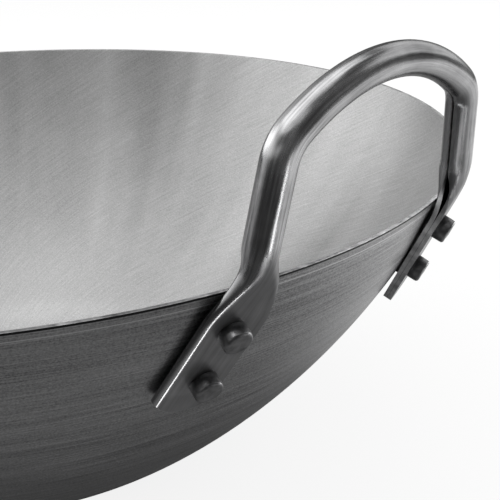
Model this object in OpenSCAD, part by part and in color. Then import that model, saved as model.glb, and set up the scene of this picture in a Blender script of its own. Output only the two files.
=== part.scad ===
// Two-handled round pan of sheet steel: a spun bowl, two loop handles rolled from strip,
// and the rivets and spacing washers that hold them. +X runs through both handles, +Z is up,
// and the origin is the middle of the underside.

/* [Bowl] */
// Diameter across the outside of the rim
rim_d = 406; // [380:1:440]
// Height from the underside to the rim
bowl_depth = 145; // [135:1:155]
// Thickness of the bowl's sheet
bowl_wall = 1.6; // [1.2:0.1:2.2]
// Slope of the wall at the rim, in degrees from vertical
rim_slope = 21.8; // [18:0.2:26]
// Radius of the wall's outer profile
side_r = 308; // [290:1:330]
// Radius of the bend between the wall and the flat base
base_bend_r = 60; // [45:1:70]
// Width of the bevel filed on both edges of the rim
rim_bevel = 0.3; // [0.1:0.1:0.5]

/* [Handle loop] */
// Outside diameter of the rolled tube
tube_d = 10.4; // [9:0.1:12]
// Thickness of the strip that the handle is rolled from
strip_t = 1.6; // [1.2:0.1:2]
// Gap between the lips of the seam
seam_gap = 0.6; // [0.3:0.1:1.2]
// How far inside the rim's outer edge the legs' axis stands, at the height of the rim
loop_inset = 3; // [1:0.1:3.5]
// Distance between the legs at the height of the rim
leg_gap = 104.4; // [102:0.2:106]
// Length over which the front of a leg bends away from its tab
bend_len = 14; // [10:1:16]
// Height of the upper corners' start above the rim
leg_rise = 33.8; // [30:0.2:40]
// Lean of each leg towards the other, in degrees
leg_lean = 10.5; // [6:0.5:14]
// Lean of the loop away from the bowl, in degrees
loop_lean = 6; // [2:0.2:9]
// Radius of the upper corners, at the tube's centre line
corner_r = 12.6; // [10:0.2:16]
// Slope of the arched top where it meets the corners, in degrees
top_slope = 33; // [20:1:40]

/* [Handle tabs] */
// Distance between the middles of a handle's two tabs, straight across
tab_gap = 110.6; // [106:0.2:116]
// Drop from the rim to the middle of a tab
tab_drop = 21.3; // [19:0.1:25]
// Width of a flattened tab
tab_w = 20.4; // [18:0.2:23]
// Lean of a tab's centre line away from straight down the wall, in degrees
tab_splay = 17.8; // [12:0.2:22]
// Distance from the middle of the front tab to its lower end
front_tab_end = 24.3; // [23:0.1:31]
// Distance from the middle of the back tab, which is the longer, to its lower end
back_tab_end = 30.6; // [23:0.1:31]
// Radius to which the lower ends are rounded
tab_end_r = 13; // [11:0.5:20]
// Space left between the tab's two layers
layer_gap = 0.1; // [0.05:0.05:0.3]
// Length above the bend in which the tube starts to flatten
thin_above = 3; // [2:0.5:6]
// Length below the bend in which it becomes flat
thin_below = 19; // [16:0.5:19]
// Length above the bend in which the tube starts to widen
wide_above = 0; // [0:0.5:3]
// Length below the bend in which it becomes as wide as the tab
wide_below = 22; // [18:0.5:24]

/* [Rivets and washers] */
// Distance between the two rivets of a tab
rivet_pitch = 21.6; // [20:0.2:24]
// How far the upper rivet sits in from the tab's centre line
upper_rivet_inset = 0.4; // [0:0.1:2]
// How far the lower rivet sits in from the tab's centre line
lower_rivet_inset = 2.5; // [0:0.1:3]
// Diameter of a rivet's shank
shank_d = 5; // [4:0.1:6]
// Clearance round the shank, on the radius
hole_clearance = 0.1; // [0.05:0.05:0.2]
// Diameter of the tall outer head
outer_head_d = 9.2; // [8:0.1:11]
// Height of the tall outer head
outer_head_h = 4.5; // [3:0.1:6]
// Radius on the outer head's edge
outer_head_edge = 0.8; // [0.3:0.1:1.2]
// Diameter of the low head inside the bowl
inner_head_d = 10; // [9:0.2:13]
// Height of the low head inside the bowl
inner_head_h = 1.8; // [1.2:0.1:2.6]
// Diameter of the washers between tab and wall
washer_d = 11; // [10:0.2:14]
// Space that the washers keep between tab and wall
washer_t = 0.6; // [0.5:0.1:1.6]

/* [Hidden] */
HANDLES = ["right", "left"];
LEGS = ["front", "back"];
ROWS = ["upper", "lower"];

steel = [0.42, 0.42, 0.43];
bright_steel = [0.62, 0.62, 0.64];
dark_steel = [0.25, 0.25, 0.26];

$fn = 48;
bowl_facets = 480;    // fine, so that washers and rivets meet the wall closely
side_steps = 16;      // straight pieces in the wall's profile
bend_steps = 8;       // straight pieces in the base bend's profile
half_strip_steps = 10; // pieces along half of the strip's width
flat_steps = 7;       // of these, the ones that lie flat in a tab
bore_extra = 10;      // how far a drill runs past what it drills

rim_r = rim_d / 2;
tab_t = 2 * strip_t + layer_gap;
RIVET_INSETS = [upper_rivet_inset, lower_rivet_inset];

// ---- the wall ----

// Slope of the wall, from vertical, at a drop below the rim
function wall_slope(drop) = asin(sin(rim_slope) + drop / side_r);
// Outside radius of the wall where it has a slope
function wall_r(slope) = rim_r - side_r * (cos(rim_slope) - cos(slope));

arc_z = bowl_depth + side_r * sin(rim_slope);   // height of the wall arc's centre
arc_x = rim_r - side_r * cos(rim_slope);        // and its distance from the axis
// Slope at which the wall arc runs into the base bend
bend_slope = asin((arc_z - base_bend_r) / (side_r - base_bend_r));
bend_x = arc_x + (side_r - base_bend_r) * cos(bend_slope);

// Outline of everything inside a surface that lies `inset` within the bowl's outer skin,
// from the rim plane down to the axis
function skin(inset) =
    let (top = asin((arc_z - bowl_depth) / (side_r - inset)))
    concat(
        [for (i = [0 : side_steps])
            let (a = top + (bend_slope - top) * i / side_steps)
            [arc_x + (side_r - inset) * cos(a), arc_z - (side_r - inset) * sin(a)]],
        [for (i = [1 : bend_steps])
            let (a = bend_slope + (90 - bend_slope) * i / bend_steps)
            [bend_x + (base_bend_r - inset) * cos(a), base_bend_r - (base_bend_r - inset) * sin(a)]],
        [[0, inset]]
    );

module skin_solid(inset) {
    rotate_extrude($fn = bowl_facets) polygon(concat(skin(inset), [[0, bowl_depth]]));
}

// ---- where a tab lies: local +X points out of the wall, +Z up the tab's centre line ----

tab_slope = wall_slope(tab_drop);
tab_angle = asin(tab_gap / 2 / wall_r(tab_slope));   // round the bowl, from the handle's middle

module on_tab(leg) {
    rotate([0, 0, leg * tab_angle])
        translate([wall_r(tab_slope), 0, bowl_depth - tab_drop])
        rotate([0, tab_slope, 0])
        rotate([leg * tab_splay, 0, 0])
        children();
}

// Places children at one rivet of a tab, with local +Z along the rivet, out of the wall
module at_rivet(leg, row) {
    on_tab(leg)
        translate([0, -leg * RIVET_INSETS[row], rivet_pitch * (0.5 - row)])
        rotate([0, 90, 0])
        children();
}

module rivet_holes(leg, deep) {
    for (row = [0, 1])
        at_rivet(leg, row)
        translate([0, 0, -deep])
        cylinder(h = 2 * deep, r = shank_d / 2 + hole_clearance);
}

// ---- the line of the tube, for the leg on +Y ----

function unit(v) = v / norm(v);
function smooth(x) = let (c = min(1, max(0, x))) c * c * (3 - 2 * c);
function mixed(a, b, f) = a + (b - a) * f;

wall_out = [cos(tab_slope) * cos(tab_angle), cos(tab_slope) * sin(tab_angle), -sin(tab_slope)];
wall_down = [-sin(tab_slope) * cos(tab_angle), -sin(tab_slope) * sin(tab_angle), -cos(tab_slope)];
wall_along = [-sin(tab_angle), cos(tab_angle), 0];
tab_up = -(wall_down * cos(tab_splay) + wall_along * sin(tab_splay));
tab_front = [wall_r(tab_slope) * cos(tab_angle), wall_r(tab_slope) * sin(tab_angle), bowl_depth - tab_drop]
    + wall_out * (washer_t + tab_t);

loop_out = [cos(loop_lean), 0, -sin(loop_lean)];
loop_up = [sin(loop_lean), 0, cos(loop_lean)];
leg_up = cos(leg_lean) * loop_up - sin(leg_lean) * [0, 1, 0];
leg_front = [rim_r - loop_inset, leg_gap / 2, bowl_depth] + loop_out * tube_d / 2;

// The line follows the front face. The tab's and the leg's fronts meet at this height
tab_run = tab_up[0] / tab_up[2];
leg_run = leg_up[0] / leg_up[2];
knee_z = (tab_front[0] - tab_run * tab_front[2] - leg_front[0] + leg_run * leg_front[2]) / (leg_run - tab_run);
tab_knee = tab_front + tab_up * (knee_z - tab_front[2]) / tab_up[2];
leg_knee = leg_front + leg_up * (knee_z - leg_front[2]) / leg_up[2];
knee_rise = (knee_z - tab_front[2]) / tab_up[2];

// The upper corner starts here, turns about its centre, and runs into the arched top
leg_len = (bowl_depth + leg_rise - knee_z) / leg_up[2];
corner_start = leg_knee + leg_up * leg_len;
corner_turn = 90 - top_slope - leg_lean;
corner_len = corner_r * corner_turn * PI / 180;
corner_y = corner_start[1] - corner_r * cos(leg_lean);
top_y = corner_y + corner_r * sin(top_slope);
top_r = top_y / sin(top_slope);
top_len = top_r * top_slope * PI / 180;

// Turns about a centre: the point at an angle from +Y towards the loop's top
function in_loop(y, rise, r, a) =
    leg_knee + loop_up * (rise + r * sin(a)) + [0, y + r * cos(a) - leg_knee[1], 0];
corner_rise = leg_len * cos(leg_lean) - corner_r * sin(leg_lean);
top_rise = corner_rise + (corner_r - top_r) * cos(top_slope);

// Point of the front line at a length above (or below) the knee
function line_at(w) =
    w < -bend_len / 2 ? tab_knee + tab_up * w
    : w < bend_len / 2 ?
        let (
            f = w / bend_len + 0.5,
            a = tab_knee - tab_up * bend_len / 2,
            b = tab_knee - tab_up * bend_len / 6,
            c = leg_knee + leg_up * bend_len / 6,
            d = leg_knee + leg_up * bend_len / 2
        )
        a * pow(1 - f, 3) + b * 3 * f * pow(1 - f, 2) + c * 3 * pow(f, 2) * (1 - f) + d * pow(f, 3)
    : w < leg_len ? leg_knee + leg_up * w
    : w < leg_len + corner_len ?
        in_loop(corner_y, corner_rise, corner_r, leg_lean + (w - leg_len) / corner_r * 180 / PI)
    : in_loop(0, top_rise, top_r,
        90 - top_slope + (w - leg_len - corner_len) / top_r * 180 / PI);

// ---- the strip's cross-section, from one lip of the seam round to the other ----

// How thin and how wide it is: 0 for the tube, 1 for the flat tab. It thins early, above the rim
function thinness(w) =
    let (u = min(1, max(0, (thin_above - w) / (thin_above + thin_below))))
    1 - pow(1 - u, 3) * (1 + 3 * u);
function wideness(w) = smooth((wide_above - w) / (wide_above + wide_below));

lip_angle = asin(seam_gap / (tube_d - strip_t));

// Half of the strip, as points along its middle with the direction out of the tube:
// [across the handle's plane, out of the wall]. Step 0 is the lip, the last is the outer fold.
function half_strip(thin, wide) =
    let (
        r = mixed(tube_d - strip_t, strip_t + layer_gap, thin) / 2,
        reach = mixed(tube_d, tab_w, wide) / 2,
        open = (thin + wide) / 2,
        lip = mixed(lip_angle, 90, open),
        lip_x = -(reach - (r + strip_t / 2) * (1 - open)),
        fold_x = reach - r - strip_t / 2,
        curl = r * (90 - lip) * PI / 180,
        flat = fold_x - lip_x,
        whole = curl + flat + r * PI / 2,
        tab_flat = tab_w - tab_t / 2,
        tab_share = tab_flat / (tab_flat + (strip_t + layer_gap) / 2 * PI / 2)
    )
    [for (k = [0 : half_strip_steps])
        let (
            even = k / half_strip_steps,
            bunched = k <= flat_steps ? tab_share * k / flat_steps
                : mixed(tab_share, 1, (k - flat_steps) / (half_strip_steps - flat_steps)),
            s = whole * mixed(even, bunched, open),
            a = s < curl ? 180 - lip - s / r * 180 / PI
                : s < curl + flat ? 90 : 90 - (s - curl - flat) / r * 180 / PI,
            x = s < curl ? lip_x : s < curl + flat ? lip_x + s - curl : fold_x
        )
        [x + r * cos(a), r * sin(a), cos(a), sin(a)]];

// The closed outline of the strip: outer skin from lip to lip, then the inner skin back
function section(thin, wide) =
    let (
        half = half_strip(thin, wide),
        n = half_strip_steps,
        whole = concat([for (k = [0 : n]) half[k]],
            [for (k = [n - 1 : -1 : 0]) [half[k][0], -half[k][1], half[k][2], -half[k][3]]])
    )
    concat(
        [for (p = whole) [p[0] + p[2] * strip_t / 2, p[1] + p[3] * strip_t / 2]],
        [for (k = [len(whole) - 1 : -1 : 0])
            let (p = whole[k]) [p[0] - p[2] * strip_t / 2, p[1] - p[3] * strip_t / 2]]
    );

// One ring of points round the line at w, for the leg on +Y
function ring(w) =
    let (
        along = unit(line_at(w + 0.05) - line_at(w - 0.05)),
        lean = smooth((w + bend_len / 2) / bend_len),
        rough = mixed(wall_out, loop_out, lean),
        out = unit(rough - along * (rough * along)),
        side = cross(along, out),
        thin = thinness(w),
        middle = line_at(w) - out * mixed(tube_d, tab_t, thin) / 2
    )
    [for (p = section(thin, wideness(w))) middle + side * p[0] + out * p[1]];

// Lengths along the line at which a ring is made, close together where the form changes
tab_tip = -(knee_rise + max(front_tab_end, back_tab_end) + 1);
neck_rings = 16;
corner_rings = 6;
top_rings = 7;
stations = concat(
    [tab_tip],
    [for (i = [0 : neck_rings]) mixed(-wide_below, max(thin_above, bend_len / 2), i / neck_rings)],
    [for (i = [0 : corner_rings]) leg_len + corner_len * i / corner_rings],
    [for (i = [1 : top_rings]) leg_len + corner_len + top_len * i / top_rings]
);

function mirrored(points) = [for (p = points) [p[0], -p[1], p[2]]];

module rolled_strip() {
    rings = concat(
        [for (w = stations) ring(w)],
        [for (i = [len(stations) - 2 : -1 : 0]) mirrored(ring(stations[i]))]
    );
    m = len(rings[0]);
    n = len(rings);
    skin_n = m / 2;
    polyhedron(
        points = [for (r = rings) each r],
        faces = concat(
            [for (i = [0 : n - 2]) for (k = [0 : m - 1])
                [i * m + k, i * m + (k + 1) % m, (i + 1) * m + (k + 1) % m, (i + 1) * m + k]],
            [for (k = [0 : skin_n - 2]) [k, m - 1 - k, m - 2 - k, k + 1]],
            [for (k = [0 : skin_n - 2])
                [(n - 1) * m + k, (n - 1) * m + k + 1, (n - 1) * m + m - 2 - k, (n - 1) * m + m - 1 - k]]
        )
    );
}

// What is cut away to leave a tab's round end
module tab_end_waste(leg) {
    end = leg < 0 ? front_tab_end : back_tab_end;
    side_y = tab_w / 2 + 1;
    end_bow = tab_end_r - sqrt(pow(tab_end_r, 2) - pow(tab_w / 2, 2));
    on_tab(leg)
        rotate([0, 90, 0])
        difference() {
            translate([end - end_bow - 1, -side_y, -bore_extra])
                cube([2 * tab_w, 2 * side_y, 3 * bore_extra]);
            translate([end - tab_end_r, 0, -2 * bore_extra])
                cylinder(h = 5 * bore_extra, r = tab_end_r);
        }
}

// ---- sub-parts ----

module bowl() {
    outer = skin(0);
    inner = skin(bowl_wall);
    color(steel)
    difference() {
        rotate_extrude($fn = bowl_facets) polygon(concat(
            [outer[0] - [rim_bevel, 0], outer[0] - [rim_bevel * tan(rim_slope), rim_bevel]],
            [for (i = [1 : len(outer) - 1]) outer[i]],
            [for (i = [len(inner) - 1 : -1 : 1]) inner[i]],
            [inner[0] - [rim_bevel * tan(rim_slope), rim_bevel], inner[0] + [rim_bevel, 0]]
        ));
        for (turn = [0, 180]) for (leg = [-1, 1])
            rotate([0, 0, turn]) rivet_holes(leg, bore_extra);
    }
}

module handle() {
    color(bright_steel)
    difference() {
        rolled_strip();
        for (leg = [-1, 1]) {
            tab_end_waste(leg);
            rivet_holes(leg, bore_extra);
        }
    }
}

module washer(leg, row) {
    color(dark_steel)
    difference() {
        at_rivet(leg, row) difference() {
            translate([0, 0, -bowl_wall]) cylinder(h = bowl_wall + washer_t, d = washer_d);
            translate([0, 0, -bore_extra]) cylinder(h = 2 * bore_extra, r = shank_d / 2 + hole_clearance);
        }
        skin_solid(0);
    }
}

module rivet(leg, row) {
    seat = washer_t + tab_t;
    color(dark_steel) {
        at_rivet(leg, row) {
            translate([0, 0, -2 * bowl_wall]) cylinder(h = seat + 2 * bowl_wall, d = shank_d);
            translate([0, 0, seat]) outer_head();
        }
        intersection() {
            at_rivet(leg, row) mirror([0, 0, 1]) translate([0, 0, bowl_wall / 2]) inner_head();
            skin_solid(bowl_wall);
        }
    }
}

module outer_head() {
    rotate_extrude() {
        square([outer_head_d / 2 - outer_head_edge, outer_head_h]);
        square([outer_head_d / 2, outer_head_h - outer_head_edge]);
        translate([outer_head_d / 2 - outer_head_edge, outer_head_h - outer_head_edge])
            intersection() {
                circle(r = outer_head_edge);
                square(outer_head_edge);
            }
    }
}

// A low dome whose skirt runs on into the wall, to be cut to the wall's inner face
module inner_head() {
    skirt = bowl_wall;
    dome_r = (pow(inner_head_d / 2, 2) + pow(inner_head_h, 2)) / (2 * inner_head_h);
    cylinder(h = skirt, d = inner_head_d);
    translate([0, 0, skirt]) intersection() {
        cylinder(h = inner_head_h, d = inner_head_d);
        translate([0, 0, inner_head_h - dome_r]) sphere(r = dome_r);
    }
}

bowl();
for (h = [0, 1]) rotate([0, 0, 180 * h]) {
    handle();
    for (g = [0, 1]) for (row = [0, 1]) {
        place = str("_", HANDLES[h], "_", LEGS[g], "_", ROWS[row]);
        rivet(2 * g - 1, row);
        washer(2 * g - 1, row);
    }
}
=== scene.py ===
import math
import bmesh
import bpy
from mathutils import Matrix, Vector, noise
from mathutils.bvhtree import BVHTree


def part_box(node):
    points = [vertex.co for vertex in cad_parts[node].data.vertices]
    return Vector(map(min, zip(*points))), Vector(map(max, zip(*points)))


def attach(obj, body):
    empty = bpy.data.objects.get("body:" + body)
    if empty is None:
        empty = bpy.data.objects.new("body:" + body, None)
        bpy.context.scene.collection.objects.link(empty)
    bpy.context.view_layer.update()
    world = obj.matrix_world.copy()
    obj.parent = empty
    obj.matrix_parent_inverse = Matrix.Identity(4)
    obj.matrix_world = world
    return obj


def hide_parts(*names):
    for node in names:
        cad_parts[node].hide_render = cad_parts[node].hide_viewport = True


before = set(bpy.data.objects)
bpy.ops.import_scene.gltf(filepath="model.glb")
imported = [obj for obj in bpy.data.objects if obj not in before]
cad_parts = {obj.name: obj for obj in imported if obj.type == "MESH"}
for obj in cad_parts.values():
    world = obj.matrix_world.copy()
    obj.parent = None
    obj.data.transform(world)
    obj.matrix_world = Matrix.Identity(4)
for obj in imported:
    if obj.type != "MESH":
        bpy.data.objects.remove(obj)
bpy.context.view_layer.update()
scene = bpy.context.scene
sameSpot = 1e-6   # metres: places closer than this are one place
print("frame loaded,", len(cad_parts), "nodes")


# small helpers

def toLinear(hexColour):  # sRGB hex to the linear colour that a socket takes
    channels = [int(hexColour[i:i + 2], 16) / 255 for i in (1, 3, 5)]
    return [c / 12.92 if c <= 0.04045 else ((c + 0.055) / 1.055) ** 2.4 for c in channels] + [1.0]


def addNode(tree, kind, sockets=None, **settings):
    node = tree.nodes.new(kind)
    for name, value in settings.items():
        setattr(node, name, value)
    for name, value in (sockets or {}).items():
        if isinstance(value, bpy.types.NodeSocket):
            tree.links.new(value, node.inputs[name])
        else:
            node.inputs[name].default_value = value
    return node


def emptyMaterial(name):
    material = bpy.data.materials.new(name)
    material.use_nodes = True
    material.node_tree.nodes.clear()
    return material, material.node_tree


def layer(tree, base, *patterns):  # a value with shares of noise patterns added to it
    for pattern, share in patterns:
        base = addNode(tree, "ShaderNodeMath", {0: pattern.outputs["Fac"], 1: share, 2: base},
                       operation="MULTIPLY_ADD").outputs[0]
    return base


def shadeBetween(tree, value, reach, tones, interpolation="LINEAR"):  # from one tone to the other over a reach
    share = addNode(tree, "ShaderNodeMapRange", {"Value": value, "From Min": reach[0], "From Max": reach[1]},
                    interpolation_type=interpolation)
    return addNode(tree, "ShaderNodeMix", {0: share.outputs[0], 6: toLinear(tones[0]), 7: toLinear(tones[1])},
                   data_type="RGBA").outputs[2]


def smoothStep(x):
    x = min(1.0, max(0.0, x))
    return x * x * (3 - 2 * x)


def blendTo(a, b, share):
    return a + (b - a) * share


def drawLine(bm, points):  # points joined by edges, to spin or extrude
    verts = [bm.verts.new(p) for p in points]
    return verts, [bm.edges.new(pair) for pair in zip(verts, verts[1:])]


def spinRound(bm, geom, steps, angle=math.tau):  # about the Z axis
    bmesh.ops.spin(bm, geom=geom, cent=(0, 0, 0), axis=(0, 0, 1), dvec=(0, 0, 0), angle=angle, steps=steps,
                   use_merge=angle == math.tau, use_duplicate=False)


def spinProfile(points, steps):  # a closed turned shape
    bm = bmesh.new()
    verts, edges = drawLine(bm, points)
    spinRound(bm, verts + edges, steps)
    bmesh.ops.remove_doubles(bm, verts=bm.verts, dist=sameSpot)
    bmesh.ops.recalc_face_normals(bm, faces=bm.faces)
    return bm


def roundEdges(bm, edges, width, segments):
    bmesh.ops.bevel(bm, geom=edges, offset=width, offset_type="OFFSET", affect="EDGES", segments=segments,
                    profile=0.5, material=-1, clamp_overlap=True)


def makeObject(name, bm, materials):
    mesh = bpy.data.meshes.new(name)
    bm.to_mesh(mesh)
    bm.free()
    for material in materials:
        mesh.materials.append(material)
    obj = bpy.data.objects.new(name, mesh)
    scene.collection.objects.link(obj)
    return obj


def finishPiece(name, bm, materials, nodes):
    piece = makeObject(name, bm, materials)
    piece.data.shade_smooth()
    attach(piece, "root")
    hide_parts(*nodes)
    return piece


def shadeEvenly(piece):  # flat faces stay flat up to their rounded edges
    weighted = piece.modifiers.new("evenShading", "WEIGHTED_NORMAL")
    weighted.keep_sharp = True


# camera and image points

cameraSetup = {
    "lens": 63.0, "sensor": 36.0, "shiftX": 0.0, "shiftY": 0.0,
    "place": Vector((0.3425, -0.2083, 0.2454)),
    "heading": math.radians(132.511), "down": math.radians(22.721), "roll": math.radians(0.563),
    "clip": (0.01, 20),
    "frame": (500, 500),   # the photograph's pixels
    "missStep": 0.005, "missSteps": 200,   # the search along a ray that misses
}
frameWidth, frameHeight = cameraSetup["frame"]
longSide = max(frameWidth, frameHeight)
lensPixels = longSide * cameraSetup["lens"] / cameraSetup["sensor"]


def makeCamera():
    yaw, pitch, roll = cameraSetup["heading"], cameraSetup["down"], cameraSetup["roll"]
    forward = Vector((math.cos(yaw) * math.cos(pitch), math.sin(yaw) * math.cos(pitch), -math.sin(pitch)))
    right = Vector((math.sin(yaw), -math.cos(yaw), 0))
    down = forward.cross(right)
    right, down = right * math.cos(roll) + down * math.sin(roll), down * math.cos(roll) - right * math.sin(roll)
    data = bpy.data.cameras.new("photoCamera")
    data.sensor_fit = "AUTO"
    data.sensor_width = cameraSetup["sensor"]
    data.lens = cameraSetup["lens"]
    data.shift_x, data.shift_y = cameraSetup["shiftX"], cameraSetup["shiftY"]
    data.clip_start, data.clip_end = cameraSetup["clip"]
    cam = bpy.data.objects.new("photoCamera", data)
    turn = Matrix((right, -down, -forward)).transposed()
    cam.matrix_world = Matrix.Translation(cameraSetup["place"]) @ turn.to_4x4()
    scene.collection.objects.link(cam)
    scene.camera = cam
    return cam


camera = makeCamera()
bpy.context.view_layer.update()
toCamera = camera.matrix_world.inverted()

# where things show in the photograph: x, y, what, how it is read and, for an end, how far beside it that looks.
# "top", "bottom", "left" and "right" are ends, "above", "below" and "before" are the edge crossed on the way up,
# down or left, "middle" is the middle of what shows, and "placed" is what this script puts there
imagePoints = {
    "handleTop": (408, 38.8, "handle", "top", 30),
    "handleRight": (477, 97, "handle", "right", 30),
    "rimFarLeft": (140, 49.4, "bowl", "above", 0),
    "rimFarMiddle": (250, 56.2, "bowl", "above", 0),
    "rimNearLeft": (96, 315.8, "rim", "above", 0),
    "rimNearRight": (320, 259, "rim", "above", 0),
    "wallLeft": (150, 473.8, "bowl", "below", 0),
    "wallRight": (300, 377.5, "bowl", "below", 0),
    "legOuter": (250.5, 198.6, "handle", "before", 0),
    "loopInside": (406, 74.1, "loop", "below", 0),
    "tabLeft": (153, 399.5, "nearTab", "left", 30),
    "tabBottom": (172, 411.6, "nearTab", "bottom", 30),
    "farTabEnd": (388, 301, "farTab", "bottom", 20),
    "rivetNearUpper": (236, 336, "rivet_head_right_front_upper", "middle", 0),
    "rivetNearLower": (206, 386, "rivet_head_right_front_lower", "middle", 0),
    "rivetFarUpper": (443, 228, "rivet_head_right_back_upper", "middle", 0),
    "rivetFarLower": (419, 265, "rivet_head_right_back_lower", "middle", 0),
    "turnedLineLeft": (150, 317.8, "wall", "placed", 0),
    "turnedLineRight": (183, 311, "wall", "placed", 0),
}


def rayThrough(x, y):  # the ray of an image point, from the camera
    inCamera = Vector((x - frameWidth / 2 + cameraSetup["shiftX"] * longSide,
                       frameHeight / 2 - y + cameraSetup["shiftY"] * longSide, -lensPixels))
    return cameraSetup["place"], (camera.matrix_world.to_3x3() @ inCamera).normalized()


def placeOn(tree, x, y):  # where an image point lies on what carries the piece, or the place nearest its ray
    start, along = rayThrough(x, y)
    hit = tree.ray_cast(start, along)[0]
    if hit is None:
        steps = [start + along * cameraSetup["missStep"] * i for i in range(cameraSetup["missSteps"])]
        hit = min((tree.find_nearest(p) for p in steps), key=lambda found: found[3])[0]
    return hit


def inImage(p):  # where a place shows, in the photograph's pixels
    seen = toCamera @ p
    scale = -lensPixels / seen.z
    return (seen.x * scale + frameWidth / 2 - cameraSetup["shiftX"] * longSide,
            frameHeight / 2 - seen.y * scale + cameraSetup["shiftY"] * longSide)


print("camera set,", len(imagePoints), "image points")


# steels

def coatSteel(tree, look, colour, pattern, relief, grainMap=None, dulled=None):
    # bare metal: a roughness that follows a pattern, dull where a share says so, and a fine relief. The gloss of
    # brushed metal is stretched across a map
    rough = addNode(tree, "ShaderNodeMapRange", {
        "Value": pattern, "From Min": look["roughReach"][0], "From Max": look["roughReach"][1],
        "To Min": look["roughness"][0], "To Max": look["roughness"][1]}).outputs[0]
    if dulled:
        rough = addNode(tree, "ShaderNodeMix", {0: dulled, 2: rough, 3: look["dullRoughness"]},
                        data_type="FLOAT").outputs[0]
    bump = addNode(tree, "ShaderNodeBump", {
        "Strength": look["bump"][0], "Distance": look["bump"][1], "Height": relief})
    sockets = {"Base Color": colour, "Metallic": 1.0, "Roughness": rough, "Normal": bump.outputs[0]}
    if grainMap:
        tangent = addNode(tree, "ShaderNodeTangent", direction_type="UV_MAP", uv_map=grainMap)
        sockets.update({"Tangent": tangent.outputs[0], "Anisotropic": look["gloss"][0],
                        "Anisotropic Rotation": look["gloss"][1]})
    shader = addNode(tree, "ShaderNodeBsdfPrincipled", sockets)
    addNode(tree, "ShaderNodeOutputMaterial", {"Surface": shader.outputs[0]})


spunLook = {
    "tones": ("#6a6a6b", "#cacacb"), "toneReach": (0.9, 1.5),
    "lineWidth": 0.0006,      # real turned lines are 0.1 to 0.2 mm apart, drawn coarser to show
    "lineRun": 0.045,         # metres a line keeps its tone for
    "rings": {"Scale": 1.0, "Detail": 3.0, "Roughness": 0.65},
    "bands": {"Scale": 1.0, "Detail": 1.0}, "bandStretch": (0.8, 0.8, 0.12), "bandShare": 0.25,   # 5 mm wide
    "patches": {"Scale": 9.0, "Detail": 2.0, "Roughness": 0.5}, "patchShare": 0.35,   # 110 mm across
    "pits": {"Scale": 1500.0, "Detail": 2.0, "Roughness": 0.7}, "pitShare": 0.8,      # 0.7 mm apart
    "roughReach": (0.3, 0.7), "roughness": (0.36, 0.48),
    "bump": (0.6, 0.00003), "gloss": (0.55, 0.25),
    "turnedLine": 0.00016, "turnedTone": "#dadadb",   # half its height; a brighter cut round the pan by the rim
    "rimShadeHeight": 0.0008, "rimShadeFade": (0.6, 0.3), "rimShadeTone": "#2e2e2f",   # a dark line of painted shade round the rim's outer corner
}


def makeSpunSteel(look, lineHeight, rimHeight):
    # sheet steel spun over a form and skimmed on the lathe, left bare: dark satin with fine rings
    material, tree = emptyMaterial("spunSheetSteelOutside")
    place = addNode(tree, "ShaderNodeTexCoord").outputs["Object"]
    parts = addNode(tree, "ShaderNodeSeparateXYZ", {0: place})
    flat = addNode(tree, "ShaderNodeCombineXYZ", {"X": parts.outputs["X"], "Y": parts.outputs["Y"]})
    radius = addNode(tree, "ShaderNodeVectorMath", {0: flat.outputs[0]}, operation="LENGTH")
    climb = addNode(tree, "ShaderNodeMath", {0: radius.outputs["Value"], 1: parts.outputs["Z"]})   # up the wall
    fine = addNode(tree, "ShaderNodeMath", {0: climb.outputs[0], 1: 1 / look["lineWidth"]}, operation="MULTIPLY")
    wide = addNode(tree, "ShaderNodeVectorMath", {0: flat.outputs[0], "Scale": 1 / look["lineRun"]},
                   operation="SCALE")
    upOnly = addNode(tree, "ShaderNodeCombineXYZ", {"Z": fine.outputs[0]})
    ringPlace = addNode(tree, "ShaderNodeVectorMath", {0: wide.outputs[0], 1: upOnly.outputs[0]})
    bandPlace = addNode(tree, "ShaderNodeVectorMath", {0: ringPlace.outputs[0], 1: look["bandStretch"]},
                        operation="MULTIPLY")
    rings = addNode(tree, "ShaderNodeTexNoise", {"Vector": ringPlace.outputs[0], **look["rings"]})
    bands = addNode(tree, "ShaderNodeTexNoise", {"Vector": bandPlace.outputs[0], **look["bands"]})
    pits = addNode(tree, "ShaderNodeTexNoise", {"Vector": place, **look["pits"]})
    patches = addNode(tree, "ShaderNodeTexNoise", {"Vector": place, **look["patches"]})
    tone = layer(tree, rings.outputs["Fac"], (bands, look["bandShare"]), (patches, look["patchShare"]),
                 (pits, look["pitShare"]))
    colour = shadeBetween(tree, tone, look["toneReach"], look["tones"])
    onLine = addNode(tree, "ShaderNodeMath", {0: parts.outputs["Z"], 1: lineHeight, 2: look["turnedLine"]},
                     operation="COMPARE")
    lined = addNode(tree, "ShaderNodeMix", {0: onLine.outputs[0], 6: colour, 7: toLinear(look["turnedTone"])},
                    data_type="RGBA")
    # painted shade: a dark line with a ragged edge just under the rim's outer corner
    ragged = layer(tree, parts.outputs["Z"], (patches, look["rimShadeHeight"]))
    byRim = addNode(tree, "ShaderNodeMapRange", {
        "Value": ragged, "From Min": rimHeight - look["rimShadeHeight"] * look["rimShadeFade"][0],
        "From Max": rimHeight - look["rimShadeHeight"] * look["rimShadeFade"][1]}, interpolation_type="SMOOTHSTEP")
    rimShaded = addNode(tree, "ShaderNodeMix", {
        0: byRim.outputs[0], 6: lined.outputs[2], 7: toLinear(look["rimShadeTone"])}, data_type="RGBA")
    coatSteel(tree, look, rimShaded.outputs[2], rings.outputs["Fac"], rings.outputs["Fac"], "wallMap")
    return material


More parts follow.
